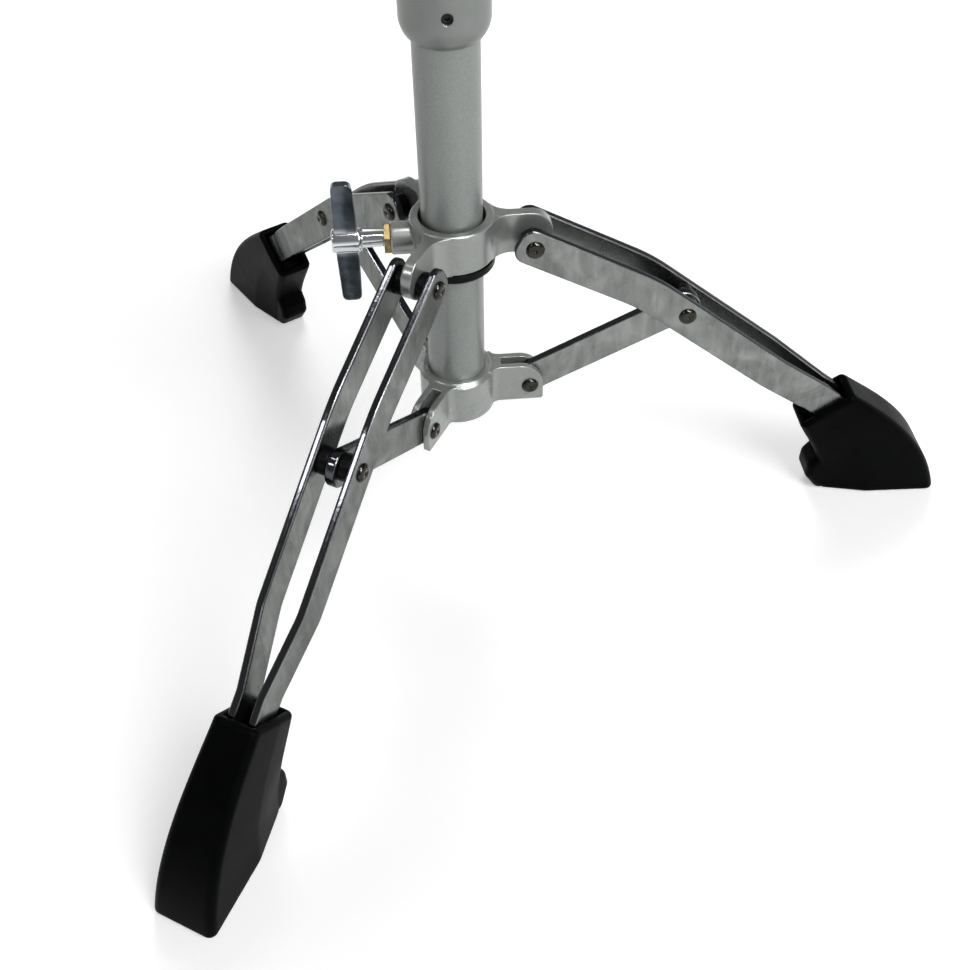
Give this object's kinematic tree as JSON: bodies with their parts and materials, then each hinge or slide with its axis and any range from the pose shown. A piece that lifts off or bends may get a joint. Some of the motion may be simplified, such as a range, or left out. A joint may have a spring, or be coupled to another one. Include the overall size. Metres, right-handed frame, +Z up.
{
  "type": "snare drum stand",
  "caption": "Folding tripod stand with twin-bar legs, sliding leg collar, telescopic tube, tilter and a three-arm basket with rubber grips for a snare drum.",
  "frame": {"origin": "point on the floor under the axis of the base tube", "axes": "+Z up along the tube, +X along one leg, the leg collar's wing bolt points to -X"},
  "size_m": [0.4334, 0.4444, 0.55],
  "materials": {
    "tube_steel": "satin plated",
    "cast_silver": "satin silver",
    "bar_steel": "plated, mottled faces",
    "bright_chrome": "polished",
    "yellow_plate": "yellow zinc plate",
    "black_steel": "black oxide",
    "black_nylon": "moulded nylon",
    "black_rubber": "semi-matte moulded"
  },
  "bodies": {
    "base": {"base_tube": "tube_steel", "stay_collar": "cast_silver", "stay_rivets": "bright_chrome", "stay_collar_pin": "bright_chrome", "clamp_housing": "cast_silver", "clamp_bush": "black_nylon", "clamp_set_screw": "black_steel", "clamp_nut": "yellow_plate"},
    "leg_collar": {"leg_collar": "cast_silver", "collar_bush": "black_nylon", "collar_nut": "yellow_plate"},
    "collar_wing": {"collar_wing": "bright_chrome", "collar_wing_screw": "bright_chrome"},
    "clamp_wing": {"clamp_wing": "bright_chrome", "clamp_screw": "bright_chrome"},
    "upper_tube": {"upper_tube": "tube_steel", "tube_glide": "black_nylon", "memory_lock": "cast_silver", "memory_lock_bolt": "bright_chrome", "tilter_base": "cast_silver", "tilter_bolt": "bright_chrome"},
    "tilter_wing_nut": {"tilter_wing_nut": "bright_chrome"},
    "tilter_head": {"tilter_head": "cast_silver", "basket_post": "bright_chrome", "basket_hub": "cast_silver", "arm_pins": "bright_chrome"},
    "basket_spool": {"basket_spool": "bright_chrome"},
    "basket_nut": {"basket_nut": "black_nylon"},
    "leg_1": {"leg_1_bar_left": "bar_steel", "leg_1_bar_right": "bar_steel", "leg_1_foot": "black_rubber", "leg_1_rivets": "bright_chrome", "leg_1_spacers": "black_nylon"},
    "stay_1": {"stay_1": "bar_steel"},
    "arm_1": {"arm_1": "bar_steel", "grip_1": "black_rubber"},
    "leg_2": {"leg_2_bar_left": "bar_steel", "leg_2_bar_right": "bar_steel", "leg_2_foot": "black_rubber", "leg_2_rivets": "bright_chrome", "leg_2_spacers": "black_nylon"},
    "stay_2": {"stay_2": "bar_steel"},
    "arm_2": {"arm_2": "bar_steel", "grip_2": "black_rubber"},
    "leg_3": {"leg_3_bar_left": "bar_steel", "leg_3_bar_right": "bar_steel", "leg_3_foot": "black_rubber", "leg_3_rivets": "bright_chrome", "leg_3_spacers": "black_nylon"},
    "stay_3": {"stay_3": "bar_steel"},
    "arm_3": {"arm_3": "bar_steel", "grip_3": "black_rubber"}
  },
  "joints": [
    {"name": "leg_fold", "type": "hinge", "parent": "base", "child": "stay_1", "pos_m": [0.0341, 0, 0.0836], "axis": [0, -1, 0], "range_deg": [0, 43.5]},
    {"name": "leg_1_knee", "type": "hinge", "parent": "stay_1", "child": "leg_1", "pos_m": [0.10373, 0, 0.1236], "axis": [0, 1, 0], "range_deg": [0, 87]},
    {"name": "collar_lift", "type": "hinge", "parent": "leg_1", "child": "leg_collar", "pos_m": [0.0341, 0, 0.1636], "axis": [0, -1, 0], "range_deg": [0, 43.5]},
    {"name": "leg_2_swing", "type": "hinge", "parent": "leg_collar", "child": "leg_2", "pos_m": [-0.01705, 0.02953, 0.1636], "axis": [-0.866, -0.5, 0], "range_deg": [0, 43.5]},
    {"name": "stay_2_swing", "type": "hinge", "parent": "base", "child": "stay_2", "pos_m": [-0.01705, 0.02953, 0.0836], "axis": [0.866, 0.5, 0], "range_deg": [0, 43.5]},
    {"name": "leg_3_swing", "type": "hinge", "parent": "leg_collar", "child": "leg_3", "pos_m": [-0.01705, -0.02953, 0.1636], "axis": [0.866, -0.5, 0], "range_deg": [0, 43.5]},
    {"name": "stay_3_swing", "type": "hinge", "parent": "base", "child": "stay_3", "pos_m": [-0.01705, -0.02953, 0.0836], "axis": [-0.866, 0.5, 0], "range_deg": [0, 43.5]},
    {"name": "collar_wing_turn", "type": "hinge", "parent": "leg_collar", "child": "collar_wing", "pos_m": [-0.02913, 0, 0.1665], "axis": [-1, 0, 0], "range_deg": [-360, 360]},
    {"name": "clamp_wing_turn", "type": "hinge", "parent": "base", "child": "clamp_wing", "pos_m": [-0.0265, -0.0088, 0.302], "axis": [0, -1, 0], "range_deg": [-360, 360]},
    {"name": "height_slide", "type": "slide", "parent": "base", "child": "upper_tube", "axis": [0, 0, 1], "range_m": [0, 0.12]},
    {"name": "basket_tilt", "type": "hinge", "parent": "upper_tube", "child": "tilter_head", "pos_m": [0, 0, 0.4378], "axis": [0, 1, 0], "range_deg": [-60, 60]},
    {"name": "tilter_nut_turn", "type": "hinge", "parent": "upper_tube", "child": "tilter_wing_nut", "pos_m": [0, -0.00945, 0.4378], "axis": [0, -1, 0], "range_deg": [-360, 360]},
    {"name": "arm_1_swing", "type": "hinge", "parent": "tilter_head", "child": "arm_1", "pos_m": [0.0085, 0.01472, 0.4793], "axis": [0.866, -0.5, 0], "range_deg": [0, 20]},
    {"name": "arm_2_swing", "type": "hinge", "parent": "tilter_head", "child": "arm_2", "pos_m": [-0.017, 0, 0.4793], "axis": [0, 1, 0], "range_deg": [0, 20]},
    {"name": "arm_3_swing", "type": "hinge", "parent": "tilter_head", "child": "arm_3", "pos_m": [0.0085, -0.01472, 0.4793], "axis": [-0.866, -0.5, 0], "range_deg": [0, 20]},
    {"name": "spool_press", "type": "slide", "parent": "tilter_head", "child": "basket_spool", "axis": [0, 0, -1], "range_m": [0, 0.00244]},
    {"name": "basket_nut_turn", "type": "hinge", "parent": "basket_spool", "child": "basket_nut", "pos_m": [0, 0, 0.4879], "axis": [0, 0, -1], "range_deg": [0, 703.73]}
  ],
  "couplings": [
    {"joint": "leg_1_knee", "follows": "leg_fold", "ratio": 2},
    {"joint": "collar_lift", "follows": "leg_fold", "ratio": 1},
    {"joint": "leg_2_swing", "follows": "leg_fold", "ratio": 1},
    {"joint": "stay_2_swing", "follows": "leg_fold", "ratio": 1},
    {"joint": "leg_3_swing", "follows": "leg_fold", "ratio": 1},
    {"joint": "stay_3_swing", "follows": "leg_fold", "ratio": 1},
    {"joint": "arm_2_swing", "follows": "arm_1_swing", "ratio": 1},
    {"joint": "arm_3_swing", "follows": "arm_1_swing", "ratio": 1},
    {"joint": "spool_press", "follows": "arm_1_swing", "m_per_rad": 0.007},
    {"joint": "basket_nut_turn", "follows": "arm_1_swing", "ratio": 35.186}
  ]
}
